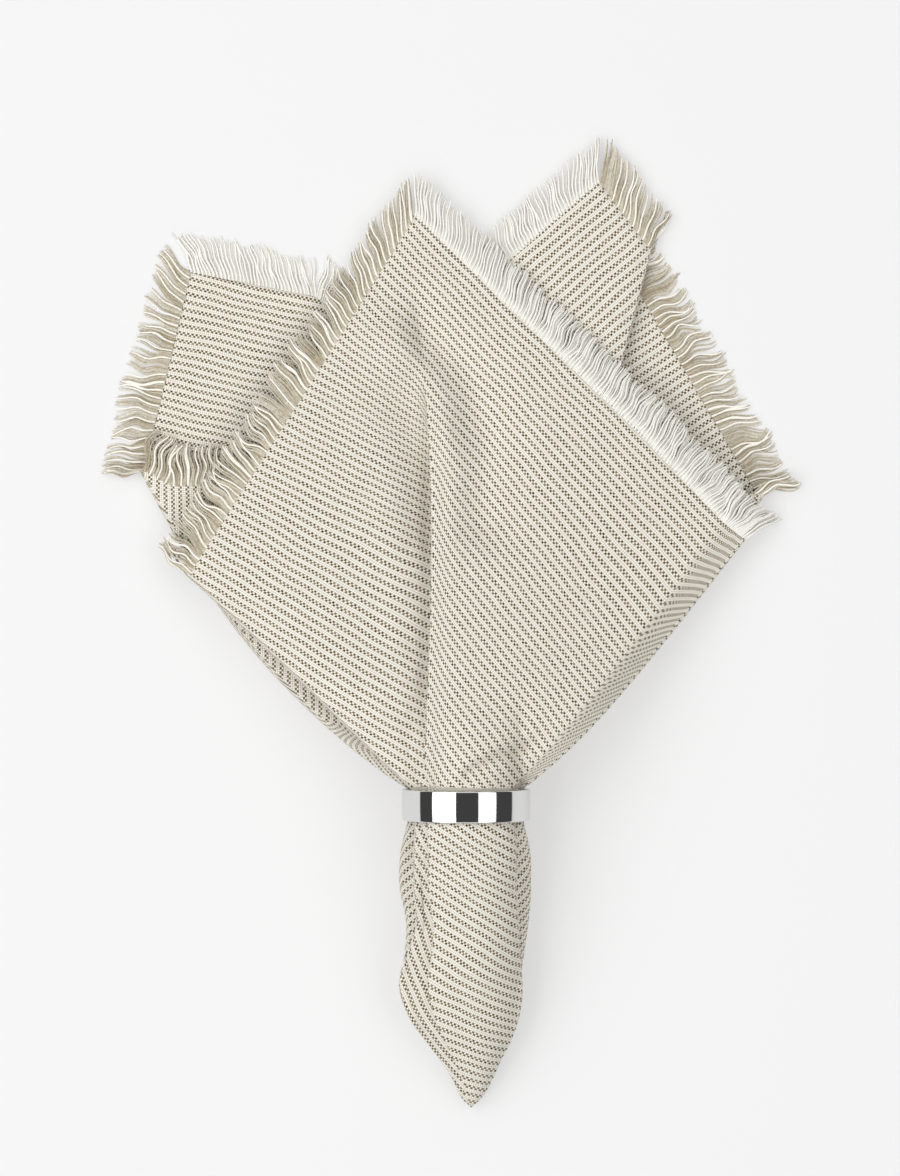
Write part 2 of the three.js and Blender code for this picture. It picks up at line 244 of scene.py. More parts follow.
# Folds round the hem. turn: 1 right fold, -1 left fold, 0 a point on a layer.
# At, Level: place across and height share at ring, middle and tip of the tail.
# In, Out: height share reaching and leaving the fold. hemX, hemY: its end at the hem.
# bulge: how far the turn rounds out. bow: bend to the side, with early below 1 nearer the ring.
# tuckIn, tuckOut: drop under the front. hemAt: hem length from the front corner.
# ringTurn: direction on the flat cloth at the ring, in degrees.
foldColumns = (
    "name", "turn", "ringAt", "midAt", "tipAt", "tipLevel", "ringIn", "ringOut", "hemIn", "hemOut",
    "hemX", "hemY", "bulgeRing", "bulgeHem", "bow", "early", "tuckIn", "tuckOut", "hemAt", "ringTurn",
)
foldTable = (
    ("frontCorner", 0, -0.62, -0.47, -0.4, 1, 1, 1, 1, 1,
        -18, 208.2, 0, 0, 5, 1.15, 0, 0, 0, 2.7),
    ("frontRight", 0, 0.08, 0.1, 0.2, 1, 1, 1, 1, 1,
        61, 131, 0, 0, 0, 1, 0, 0, 110, 9.6),
    ("rightShoulder", 0, 0.74, 0.66, 0.84, 0.98, 1, 1, 1, 1,
        90.6, 99.6, 0, 0, 3, 0.7, 0, 0, 154, 16.3),
    ("rightFold", 1, 0.84, 0.745, 0.95, 0.82, 0.9, 0.8, 0.7, 0.6,
        98, 94, 0.9, 1.2, 6, 0.6, 0, 0, 174, 25),
    ("pleatLeft", -1, 0, 0.3, 0.5, 0.76, 0.8, 0.76, 0.6, 0.58,
        34, 150, 0.9, 0.7, 0, 1, 0, 0, 252, 58),
    ("pleatRight", 1, 0.94, 0.97, 0.9, 0.7, 0.76, 0.62, 0.58, 0.55,
        81, 108, 0.9, 0.7, 2, 0.6, 0, 0, 314, 78),
    ("hiddenCorner", -1, -0.33, -0.1, 0.3, 0.64, 0.62, 0.55, 0.56, 0.5,
        -15, 194, 1.2, 0.8, 0, 1, 0, 0, 450, 90),
    ("innerRight", 1, 0.7, 0.55, 0.6, 0.52, 0.55, 0.47, 0.5, 0.46,
        76, 92, 1.2, 0.8, 3, 0.6, 0, 0, 560, 108),
    ("innerLeft", -1, -0.33, -0.2, 0.2, 0.38, 0.47, 0.38, 0.46, 0.4,
        -7, 112, 1.2, 0.8, 0, 1, 0, 0, 620, 121),
    ("backRightFold", 1, 0.88, 0.84, 0.8, 0.16, 0.38, 0.03, 0.4, 0,
        104.3, 109.1, 1.7, 2.0, 6, 0.6, 0, 0, 741, 151),
    ("backPleatLeft", -1, 0, 0.2, 0.4, 0, 0.03, 0.13, 0, 0.2,
        56, 192, 1.0, 0.6, 0, 1, 0, 0, 848, 168),
    ("rightFlapFold", 1, 0.72, 0.5, 0.36, 0, 0.13, 0.3, 0.25, 0.62,
        65.5, 196.5, 1.6, 0.6, 0, 1, 0, 0, 867, 188),
    ("rightFlapCorner", 0, 0.3, 0.25, 0.2, 0, 0.3, 0.3, 0.6, 0.6,
        47.4, 220.5, 0, 0, 0, 1, 0, 0, 900, 194),
    ("rightFlapEdge", 0, 0, 0, 0.05, 0, 0.3, 0.3, 0.45, 0.45,
        19.2, 196.1, 0, 0, 0, 1, 0, 0, 938, 197.5),
    ("backLeft", -1, -0.74, -0.5, -0.1, 0, 0.3, 0.23, 0.26, 0.13,
        -62, 120, 1.0, 0.8, 0, 1, 0, 0, 1045, 208),
    ("backRight", 1, -0.1, -0.2, -0.36, 0, 0.23, 0.16, 0.13, 0.01,
        24, 123, 1.0, 0.8, 0, 1, 0, 0, 1130, 228),
    ("leftFlapEdge", 0, -0.3, -0.4, -0.5, 0, 0.16, 0.16, 0, 0,
        -53.3, 179.9, 0, 0, 0, 1, 0, 0, 1304, 281),
    ("leftFlapCorner", 0, -0.5, -0.55, -0.65, 0, 0.16, 0.16, 0, 0,
        -98.2, 188.7, 0, 0, -3, 0.6, 0, 0, 1350, 283.5),
    ("leftFlapFold", -1, -0.9, -0.97, -0.9, 0.18, 0.16, 0.56, 0, 0.36,
        -115, 118.5, 2.0, 1.6, -14.2, 0.8, 0, 0, 1423, 286),
    ("leftTriangle", 0, -0.84, -0.9, -0.86, 0.3, 0.58, 0.58, 0.38, 0.38,
        -104, 112.5, 0, 0, -13.2, 0.8, 0, 0, 1434, 288),
    ("innerBack", 1, -0.46, -0.2, -0.5, 0.4, 0.58, 0.66, 0.42, 0.54,
        -21, 114, 1.0, 1.2, 0, 1, 0, 0, 1520, 301),
    ("innerMiddle", -1, -0.72, -0.55, -0.7, 0.5, 0.66, 0.74, 0.54, 0.64,
        -64, 103, 1.0, 1.0, 0, 1, 0, 0, 1562, 312),
    ("innerFront", 1, -0.46, -0.2, -0.5, 0.62, 0.74, 0.81, 0.64, 0.76,
        -24, 104, 1.0, 1.2, 0, 1, 0, 0, 1604, 322),
    ("leftFold", -1, -0.9, -0.77, -0.97, 0.8, 0.81, 0.94, 0.76, 1,
        -97.7, 81.1, 0.9, 1.4, 1, 1.2, 0, 0, 1646, 338),
    ("frontLeft", 0, -0.8, -0.68, -0.78, 0.97, 0.98, 0.98, 1, 1,
        -57, 145.6, 0, 0, 0, 1, 1.6, 1.6, 1725, 340.2),
    ("tuckUnder", 1, 0.47, 0.2, -0.3, 1, 1, 1, 1, 1,
        -31.4, 186.7, 0, 0, 5.5, 1.15, 2, 1, 1774.7, 351),
    ("tuckEdge", -1, -0.71, -0.555, -0.5, 1, 1, 1, 1, 1,
        -20.6, 204, 0, 0, 5.5, 1.15, 1, 0, 1795, 361.7),
)
# how the stripes lie on each layer of the tail: first fold, last fold, turn in degrees
tailFaces = (
    ("frontCorner", "rightFold", 13),
    ("pleatLeft", "pleatRight", 87),
    ("leftFlapFold", "innerBack", 267),
    ("leftFold", "tuckUnder", 345),
    ("tuckEdge", "tuckEdge", 373),
)
# the front panel's folds, with finer columns after them
shownAfter = (
    "frontCorner", "frontRight", "rightShoulder", "leftFold", "frontLeft", "tuckUnder", "tuckEdge",
)
folds = [dict(zip(foldColumns, row)) for row in foldTable]

# Layers that lie flat, so that their stripes run straight: point of the hem, hem length there,
# side of the square, direction of the hem in degrees, 1 outer or -1 inner face up,
# share of the way from ring to hem at which it starts
lays = {
    "left": ("frontCorner", 1800, 3, 57.9, 1, 0),
    "right": ("frontCorner", 0, 0, -45, 1, 0),
    "leftFlap": ("leftFlapCorner", 1350, 3, 256.5, -1, 0.5),
    "leftTriangle": ("leftTriangle", 1434, 3, 1, 1, 0.22),
    "rightBack": ("backRightFold", 741, 1, 123.3, -1, 0.5),
}
# the front's left: way from the corner and the stripes' lean in degrees
leftLean = ((0, -12.9), (40, -11), (58, -3), (75, 4), (100, 6), (130, 1.5), (160, 0))
leftShear = 0.2
rightLean = {"slope": 0.1, "inward": 60, "along": 75}
tuckRoll = {"shift": 3.4, "reach": 4.4, "fade": (150, 112)}  # cloth that rolls down into the tuck

# Troughs and swells of the front, as seen: side of the tuck, line in plan, half width, height
tuckLine = ((-15, 147), (-13.2, 141), (-11.2, 114), (-11.8, 86), (-13.2, 37), (-14.4, 7))
tailLine = ((-13.9, -6), (-13.1, -18), (-11.7, -34), (-11.7, -60), (-10.6, -78))
frontCreases = (
    ("left", tuckLine, 8, -5),
    ("left", ((-22, 142), (-15, 118), (-13, 96)), 9, -2.6),
    ("right", tuckLine, 4, -2.2),
    ("right", ((-16, 166), (2, 152), (9, 124), (7, 100)), 10, -5.6),
    ("both", ((-31, 166), (-19, 154), (-10, 128)), 8, 2.4),
    ("left", ((-20, 6), (-38, 24.5), (-57.5, 43.5), (-77.5, 62), (-97.7, 81.1)), 6, -2.2),
    ("both", ((0, 11), (6, 14.5), (13, 18), (21, 20)), 1.8, -2.4),
    ("both", ((-2, 15), (4, 18.5), (12, 22.5), (22, 25)), 2.6, 1.2),
    ("right", ((16.5, 18), (18, 13), (18.8, 7)), 1.7, -2.2),
    ("left", tailLine, 4.5, -1.3),
    ("right", tailLine, 6, 0.8),
)


def foldPoint(k, share):
    fold = folds[k]
    before, after = folds[k - 1], folds[(k + 1) % len(folds)]
    out = math.sin(math.pi * share) if fold["turn"] else 0
    turned = (1 - math.cos(math.pi * share)) / 2
    along = np.array([fold["hemX"] - before["hemX"], fold["hemY"] - before["hemY"]])
    along = along / np.linalg.norm(along)
    spread = share - 0.5 if fold["turn"] else 0
    beside = before if spread < 0 else after
    # cloth taken up round the fold, on the side away from the layer that shows
    taken = share - (fold["turn"] < 0) if fold["turn"] else 0
    ringWall = foldWall["ringHeight"] * abs(fold["ringOut"] - fold["ringIn"]) + foldWall["least"]
    hemWall = foldWall["hemHeight"] * abs(fold["hemOut"] - fold["hemIn"]) + foldWall["least"]
    hemWall = hemWall + fold["bulgeHem"]
    ahead = fold["bulgeHem"] * out + (0 if fold["bulgeHem"] else spread)
    return {
        "ringAt": fold["ringAt"],
        "midAt": mix(fold["midAt"], beside["midAt"], abs(spread) * foldWall["midShift"]),
        "rounding": fold["turn"] * fold["bulgeRing"] * out / cloth["bundleRadius"],
        "ringLevel": mix(fold["ringIn"], fold["ringOut"], turned),
        "hemX": fold["hemX"] + along[0] * ahead,
        "hemY": fold["hemY"] + along[1] * ahead,
        "hemLevel": mix(fold["hemIn"], fold["hemOut"], turned),
        "tipAt": mix(fold["tipAt"], beside["tipAt"], abs(spread) * foldWall["tipShift"]),
        "tipLevel": mix(fold["tipLevel"], beside["tipLevel"], abs(spread) * foldWall["tipLevelShift"]),
        "folded": 1 if fold["bulgeHem"] else 0,
        "tuck": mix(fold["tuckIn"], fold["tuckOut"], turned),
        "bow": fold["bow"],
        "early": fold["early"],
        "hemAt": fold["hemAt"] + hemWall * taken,
        "ringTurn": fold["ringTurn"] + ringWall * taken / foldWall["ringDegree"],
        "wall": ringWall * taken / foldWall["tailDegree"],
    }


def clothColumns():
    # every column from tip to hem, and where each fold stands among them
    columns, spans = [], {}
    for k, fold in enumerate(folds):
        first = len(columns)
        shares = np.linspace(0, 1, cloth["turnPoints"]) if fold["turn"] else [0]
        columns += [foldPoint(k, s) for s in shares]
        spans[fold["name"]] = (first, len(columns) - 1)
        leave, reach = columns[-1], foldPoint((k + 1) % len(folds), 0)
        if k + 1 == len(folds):
            for key, whole in (("hemAt", 4 * cloth["side"]), ("ringTurn", 360)):
                reach[key] += whole
        gap = math.hypot(leave["hemX"] - reach["hemX"], leave["hemY"] - reach["hemY"])
        step = cloth["frontStep"] if fold["name"] in shownAfter else cloth["otherStep"]
        steps = max(2, round(gap / step))
        for i in range(1, steps):
            columns.append({key: mix(leave[key], reach[key], i / steps) for key in leave})
            columns[-1]["folded"] = 0
    return {key: np.array([c[key] for c in columns]) for key in columns[0]}, spans


def clothBounds(x, y):
    # lowest and highest cloth at a place
    outline = [curveThrough(y, tailTable["y"], tailTable[key]) for key in tailColumns[1:]]
    left, right, bottom, top = outline
    across = np.clip(np.abs(x - (left + right) / 2) / ((right - left) / 2), 0, 1)
    chord = (1 - across ** cloth["squareness"]) ** (1 / cloth["squareness"])
    half = (top - bottom) / 2 * np.maximum(chord, cloth["tailSideChord"])
    middle = mix(bottom + half, (top + bottom) / 2, smooth(*cloth["tailLift"], y))
    inTail = smooth(-cloth["ringHalf"], cloth["tailFrom"], y)
    disc = np.sqrt(np.maximum(cloth["bundleRadius"] ** 2 - x * x, cloth["sideChord"] ** 2))
    held = 1 - smooth(0, cloth["flareLength"], y - cloth["ringHalf"])
    out = np.hypot(x, np.maximum(y, 0)) / cloth["fanSpread"]
    dome = cloth["fanHem"] + (cloth["fanTop"] - cloth["fanHem"]) * np.exp(-(out ** cloth["fanPower"]))
    low = mix(cloth["floorGap"], cloth["ringCentre"] - disc, held)
    high = mix(dome, cloth["ringCentre"] + disc, held)
    return mix(low, middle - half, inTail), mix(high, middle + half, inTail)


def hemFlat(at):
    # flat place of a point of the hem, from its length along the hem
    half, side = cloth["side"] / 2, cloth["side"]
    u = np.interp(at, [0, side, 2 * side, 3 * side, 4 * side], [half, half, -half, -half, half])
    v = np.interp(at, [0, side, 2 * side, 3 * side, 4 * side], [half, -half, -half, half, half])
    return u, v


def tailTurns(col, spans, x, y):
    # direction on the flat cloth: each layer of the tail lies flat, so its stripes run straight
    knots = [at for face in tailFaces for at in (spans[face[0]][0], spans[face[1]][1])]
    turns = np.repeat([face[2] for face in tailFaces], 2)
    face = np.interp(np.arange(len(col["hemAt"])), knots, turns)
    aside, ahead = x - cloth["tailTip"][0], y - cloth["tailTip"][1]
    inTail = smooth(*cloth["stripesTurn"], y)
    turn = mix(col["ringTurn"], face + col["wall"] + np.degrees(np.arctan2(aside, ahead)), inTail)
    turn = turn + cloth["tipTwist"] * smooth(*cloth["tipTwistFrom"], y)
    return turn, mix(ahead + 0 * x, np.hypot(aside, ahead), inTail)


def layMasks(count, spans):
    # how far each column belongs to each layer that lies flat
    knots = {
        "left": (spans["leftFold"], (0, 1)),
        "right": (
            (spans["rightShoulder"][0], spans["rightFold"][0], spans["tuckUnder"][1], spans["tuckEdge"][0]),
            (1, 0, 0, 1),
        ),
        "leftTriangle": (spans["leftFlapFold"] + spans["innerBack"], (0, 1, 1, 0)),
        "leftFlap": (
            (spans["backRight"][1], spans["leftFlapEdge"][0]) + spans["leftFlapFold"],
            (0, 1, 1, 0),
        ),
        "rightBack": (spans["backRightFold"] + spans["backPleatLeft"], (0, 1, 1, 0)),
    }
    return {name: np.interp(np.arange(count), *pair) for name, pair in knots.items()}


def layFlat(name, x, y):
    # place on the flat cloth of a point on a layer that lies flat
    anchor, at, side, turn, face = lays[name][:-1]
    hem = [fold for fold in folds if fold["name"] == anchor][0]
    a, s = math.radians(turn), math.radians(90 * side)
    aside, ahead = x - hem["hemX"], y - hem["hemY"]
    if name == "right":
        roll = tuckRoll["shift"] * smooth(*tuckRoll["fade"], y)
        aside = aside - roll * np.exp(-((distanceToLine(x, y, tuckLine) / tuckRoll["reach"]) ** 2))
    along = aside * math.cos(a) + ahead * math.sin(a)
    inward = face * (aside * math.sin(a) - ahead * math.cos(a))
    if name == "left":
        lean = np.interp(-along, *zip(*leftLean))
        along, inward = along - inward * np.tan(np.radians(lean)), inward - leftShear * along
    if name == "right":
        lean = rightLean["slope"] * smooth(0, rightLean["inward"], inward)
        inward = inward - lean * (along - rightLean["along"])
    fromU, fromV = hemFlat(at)
    stepU, stepV = -math.sin(s), -math.cos(s)
    return fromU + along * stepU + inward * stepV, fromV + along * stepV - inward * stepU


def clothGrid():
    # middle of the cloth and its flat place, for each row and column
    col, spans = clothColumns()
    ringHalf = cloth["ringHalf"]
    tailY = np.linspace(tailTable["y"][0], ringHalf, cloth["tailRows"])[:, None]
    opened, ended = smooth(*cloth["tailMiddle"], tailY), smooth(*cloth["tailEnd"], tailY)
    across = mix(mix(col["ringAt"], col["midAt"], opened), col["tipAt"], ended)
    across = across + col["rounding"] * (1 - cloth["tailRounding"] * opened) * (1 - ended)
    left = curveThrough(tailY, tailTable["y"], tailTable["left"])
    right = curveThrough(tailY, tailTable["y"], tailTable["right"])
    tailX = mix(left, right, (1 + across) / 2)
    tailLevel = mix(col["ringLevel"], col["tipLevel"], smooth(*cloth["tailSettle"], tailY))
    tailTurn, tailFlat = tailTurns(col, spans, tailX, tailY)

    t = (np.linspace(0, 1, cloth["fanRows"] + 1)[1:, None]) ** cloth["fanRowPower"]
    fanX = mix((col["ringAt"] + col["rounding"]) * cloth["bundleRadius"], col["hemX"], t)
    fanX = fanX + col["bow"] * np.sin(np.pi * t ** col["early"])
    fanY = mix(ringHalf, col["hemY"], t)
    fanLevel = mix(col["ringLevel"], col["hemLevel"], smooth(0, cloth["fanSettle"], t))

    x = np.vstack([tailX, fanX])
    y = np.vstack([tailY + 0 * tailX, fanY])
    level = np.vstack([tailLevel, fanLevel])
    low, high = clothBounds(x, y)
    under, edge = x[:, spans["tuckUnder"][1]], x[:, spans["tuckEdge"][0]]
    tucked = cloth["tuckDrop"] * smooth(*cloth["tuckUnfold"], under - edge)
    loose = smooth(*cloth["ringPress"], np.abs(y))
    z = mix(low, high, level) - col["tuck"] * tucked[:, None] * mix(cloth["tuckHeld"], 1, loose)
    z = z + frontRelief(x, y, spans, loose)
    z = np.maximum(z, low)

    ringAngle, tailAngle = np.radians(45 + col["ringTurn"]), np.radians(45 + tailTurn)
    hemU, hemV = hemFlat(col["hemAt"])
    fanU = mix(cloth["flatRing"] * np.sin(ringAngle), hemU, t)
    fanV = mix(cloth["flatRing"] * np.cos(ringAngle), hemV, t)
    for name, mask in layMasks(len(col["hemAt"]), spans).items():
        begin = lays[name][-1]
        share = mask * (smooth(begin / 2, begin, t) if begin else 1)
        layU, layV = layFlat(name, fanX, fanY)
        fanU, fanV = mix(fanU, layU, share), mix(fanV, layV, share)
    u = np.vstack([tailFlat * np.sin(tailAngle), fanU])
    v = np.vstack([tailFlat * np.cos(tailAngle), fanV])
    return np.stack([x, y, z], 2), np.stack([u, v], 2), col


def frontRelief(x, y, spans, loose):
    # listed troughs and swells of the front
    columns = np.arange(x.shape[1])
    tuck = (spans["tuckUnder"][1], spans["tuckEdge"][0])
    left = np.interp(columns, spans["innerBack"] + tuck, (0, 1, 1, 0))  # with the layers below it
    right = np.interp(columns, spans["backRightFold"] + tuck, (1, 0, 0, 1))
    sides = {"left": left * loose, "right": right, "both": left + right}
    relief = np.zeros_like(x)
    for side, line, width, height in frontCreases:
        relief += sides[side] * height * np.exp(-((distanceToLine(x, y, line) / width) ** 2))
    return relief


def distanceToLine(x, y, line):
    nearest = np.full(x.shape, 1e9)
    for (ax, ay), (bx, by) in zip(line, line[1:]):
        dx, dy = bx - ax, by - ay
        share = np.clip(((x - ax) * dx + (y - ay) * dy) / (dx * dx + dy * dy), 0, 1)
        nearest = np.minimum(nearest, np.hypot(x - ax - share * dx, y - ay - share * dy))
    return nearest


weave = {
    "stripe": 2.7,  # two taupe picks and two cream ones
    "picks": 4,
    "taupePicks": 2,
    "endPitch": 0.76,  # drawn a quarter coarser than the yarn, so that the dots show in the render
    "cream": "#faf8f2",
    "creamShade": "#e8e4da",
    "creamOnTaupe": "#efe8d8",  # cream yarn where it crosses a taupe one
    "taupe": "#33291a",
    "gap": "#bab09c",  # painted shade between two yarns
    "dotEdge": 0.16,  # shares of a knuckle's height at which the dot and the crown are full; below the crown the painted shade shows
    "crownEdge": 0.5,
    "faintDot": 0.75,  # the palest of the uneven dots
    "wander": 2.4,  # threads that stray from their line
    "wanderLength": 26,
    "slubLength": 5,
    "slubStep": 0.37,  # change of the slub from yarn to yarn
    "knuckle": 0.12,
    "knuckleStrength": 0.4,
    "surface": {
        "Roughness": 0.92, "Specular IOR Level": 0.25, "Sheen Weight": 0.1, "Sheen Roughness": 0.5,
    },
}


def wovenCotton():
    # plain woven cotton: soft and matt, cream with broken taupe stripes that follow the threads
    material, tree, sockets = newMaterial("woven cotton", weave["surface"])
    place = addNode(tree, "ShaderNodeUVMap", uv_map="flat")
    wander = {"Vector": place.outputs[0], "Scale": cloth["side"] / weave["wanderLength"], "Detail": 2}
    wander = addNode(tree, "ShaderNodeTexNoise", wander)
    wander = {0: wander.outputs["Color"], 1: (0.5, 0.5, 0.5)}  # noise round zero
    wander = addNode(tree, "ShaderNodeVectorMath", wander, operation="SUBTRACT")
    wander = {0: wander.outputs[0], "Scale": weave["wander"] / cloth["side"]}
    wander = addNode(tree, "ShaderNodeVectorMath", wander, operation="SCALE")
    place = addNode(tree, "ShaderNodeVectorMath", {0: place.outputs[0], 1: wander.outputs[0]})
    parts = addNode(tree, "ShaderNodeSeparateXYZ", {0: place.outputs[0]})
    picksPerSide = cloth["side"] * weave["picks"] / weave["stripe"]
    endsPerSide = cloth["side"] / weave["endPitch"]
    pick = addNode(tree, "ShaderNodeMath", {0: parts.outputs[0], 1: picksPerSide}, operation="MULTIPLY")
    end = addNode(tree, "ShaderNodeMath", {0: parts.outputs[1], 1: endsPerSide}, operation="MULTIPLY")
    pickNumber = addNode(tree, "ShaderNodeMath", {0: pick.outputs[0]}, operation="FLOOR")
    endNumber = addNode(tree, "ShaderNodeMath", {0: end.outputs[0]}, operation="FLOOR")
    inStripe = {0: pickNumber.outputs[0], 1: weave["picks"]}
    inStripe = addNode(tree, "ShaderNodeMath", inStripe, operation="FLOORED_MODULO")
    taupe = {0: inStripe.outputs[0], 1: weave["taupePicks"] - 0.5}
    taupe = addNode(tree, "ShaderNodeMath", taupe, operation="LESS_THAN")
    over = {0: pickNumber.outputs[0], 1: endNumber.outputs[0]}
    over = addNode(tree, "ShaderNodeMath", over, operation="ADD")
    over = addNode(tree, "ShaderNodeMath", {0: over.outputs[0], 1: 2}, operation="FLOORED_MODULO")

    # each crossing is a small round knuckle of yarn
    acrossPick = addNode(tree, "ShaderNodeMath", {0: pick.outputs[0], 1: math.pi}, operation="MULTIPLY")
    acrossPick = addNode(tree, "ShaderNodeMath", {0: acrossPick.outputs[0]}, operation="SINE")
    acrossEnd = addNode(tree, "ShaderNodeMath", {0: end.outputs[0], 1: math.pi}, operation="MULTIPLY")
    acrossEnd = addNode(tree, "ShaderNodeMath", {0: acrossEnd.outputs[0]}, operation="SINE")
    knuckle = {0: acrossPick.outputs[0], 1: acrossEnd.outputs[0]}
    knuckle = addNode(tree, "ShaderNodeMath", knuckle, operation="MULTIPLY")
    knuckle = addNode(tree, "ShaderNodeMath", {0: knuckle.outputs[0]}, operation="ABSOLUTE")

    # taupe shows where its yarn is on top, as dots that are a little uneven
    dot = addNode(tree, "ShaderNodeMapRange", {0: knuckle.outputs[0], 1: 0, 2: weave["dotEdge"]})
    crossing = {0: pickNumber.outputs[0], 1: endNumber.outputs[0]}
    crossing = addNode(tree, "ShaderNodeCombineXYZ", crossing)
    uneven = {"Vector": crossing.outputs[0]}
    uneven = addNode(tree, "ShaderNodeTexWhiteNoise", uneven, noise_dimensions="2D")
    uneven = {0: uneven.outputs["Value"], 3: weave["faintDot"], 4: 1}
    uneven = addNode(tree, "ShaderNodeMapRange", uneven)
    for factor in (over, taupe, uneven):
        dot = {0: dot.outputs[0], 1: factor.outputs[0]}
        dot = addNode(tree, "ShaderNodeMath", dot, operation="MULTIPLY")

    # yarn that varies along its length
    slub = {0: pickNumber.outputs[0], 1: parts.outputs[1]}
    slub = addNode(tree, "ShaderNodeCombineXYZ", slub)
    slub = {0: slub.outputs[0], 1: (weave["slubStep"], cloth["side"] / weave["slubLength"], 0)}
    slub = addNode(tree, "ShaderNodeVectorMath", slub, operation="MULTIPLY")
    slub = addNode(tree, "ShaderNodeTexNoise", {"Vector": slub.outputs[0], "Scale": 1, "Detail": 2})

    # cream yarn, tinted where a taupe one dips under it, with painted shade between two yarns, then the
    # dots
    crown = addNode(tree, "ShaderNodeMapRange", {0: knuckle.outputs[0], 1: 0, 2: weave["crownEdge"]})
    light = {0: slub.outputs[0], 6: hexColour(weave["creamShade"]), 7: hexColour(weave["cream"])}
    light = addNode(tree, "ShaderNodeMix", light, data_type="RGBA")
    light = {0: taupe.outputs[0], 6: light.outputs[2], 7: hexColour(weave["creamOnTaupe"])}
    light = addNode(tree, "ShaderNodeMix", light, data_type="RGBA")
    light = {0: crown.outputs[0], 6: hexColour(weave["gap"]), 7: light.outputs[2]}
    light = addNode(tree, "ShaderNodeMix", light, data_type="RGBA")
    colour = {0: dot.outputs[0], 6: light.outputs[2], 7: hexColour(weave["taupe"])}
    colour = addNode(tree, "ShaderNodeMix", colour, data_type="RGBA")
    tree.links.new(colour.outputs[2], sockets["Base Color"])
    bump = {"Strength": weave["knuckleStrength"], "Distance": weave["knuckle"] * mm}
    bump = addNode(tree, "ShaderNodeBump", {"Height": knuckle.outputs[0], **bump})
    tree.links.new(bump.outputs[0], sockets["Normal"])
    return material


def buildCloth():
    places, flat, col = clothGrid()
    rows, count = places.shape[:2]
    points = np.vstack([places.reshape(-1, 3), cloth["tailTip"]])
    tip = rows * count
    faces = []
    for c in range(count):
        d = (c + 1) % count
        faces.append((tip, d, c))
        for row in range(0, tip - count, count):
            faces.append((row + c, row + d, row + count + d, row + count + c))
    piece = meshPiece("napkin_cloth_sheet", points, faces, wovenCotton())
    uv = np.vstack([flat.reshape(-1, 2), (0, 0)]) / cloth["side"] + 0.5  # the cloth's middle is at 0.5
    layer = piece.data.uv_layers.new(name="flat")
    corners = np.zeros(len(piece.data.loops), int)
    piece.data.loops.foreach_get("vertex_index", corners)
    layer.data.foreach_set("uv", uv[corners].astype(np.float32).ravel())
    wall = piece.modifiers.new("thickness", "SOLIDIFY")
    wall.thickness = cloth["thick"] * mm
    wall.offset = 0
    plainMesh(piece)
    return piece, places, col


clothPiece, clothPlaces, clothCol = buildCloth()
print("cloth ready", len(clothPiece.data.polygons), "faces")


# Fringe
fringe = {
    "seed": 11,
    "pitch": 0.34,  # one yarn
    "length": 13,
    "points": 16,
    "sides": 5,
    "inset": 0.8,
    "lowest": (0.3, 0.8),  # above the floor, and share of its rise that a yarn keeps there
    "lock": 5.2,  # yarns that wave together
    # Spread: from lock to lock, Stray: from yarn to yarn
    "rootStray": 0.06,
    "leanStray": 0.03,
    "waveSpread": 0.35,
    "waveStray": 0.15,
    "phaseSpread": 1.1,
    "phaseStray": 0.2,
    "periodSpread": 0.1,
    "lengthSpread": 0.05,
    "lengthStray": 0.05,
    "lockSpread": 0.4,
    "radiusStray": 0.08,
    "leanTrim": 0.3,  # a leaning yarn is hardly longer
    "leanCurl": 1.2,
    "gatherCurl": 1.6,
    "waveFull": 0.5,  # share of the yarn by which it waves in full
    "riseFull": 0.25,
    "taper": 0.4,
    "paleEnds": 0.3,  # frayed ends are paler
    "fluff": 0.9,
    "fluffShade": 0.12,
    "fluffBump": 0.1,
    "fluffStrength": 0.3,
    "surface": {"Roughness": 0.95, "Specular IOR Level": 0.2, "Sheen Weight": 0.2},
    # top: the cream yarns that stand out, low: the yarns between them
    "kinds": {
        "beige_yarn": {
            "finish": "loose taupe and cream yarn", "dark": "#a5997f", "pale": "#fbf7ed",
            "leanSpread": 0.2, "wave": 0.8, "wavelength": 14, "gather": (0.2, 0.65),
            "topEvery": 8, "topRadius": 0.38, "topTone": (0.9, 1.0), "topRise": 1.1,
            "lowRadius": 0.33, "lowTone": (0, 0.45), "lowRise": (0, 0.5),
        },
        "cream_yarn": {
            "finish": "loose cream yarn", "dark": "#dfdcd3", "pale": "#f6f4ee",
            "leanSpread": 0.1, "wave": 0.42, "wavelength": 11, "gather": (0, 0.25),
            "topEvery": 4, "topRadius": 0.39, "topTone": (0.8, 1.0), "topRise": 0.9,
            "lowRadius": 0.3, "lowTone": (0, 0.6), "lowRise": (0, 0.4),
        },
    },
}
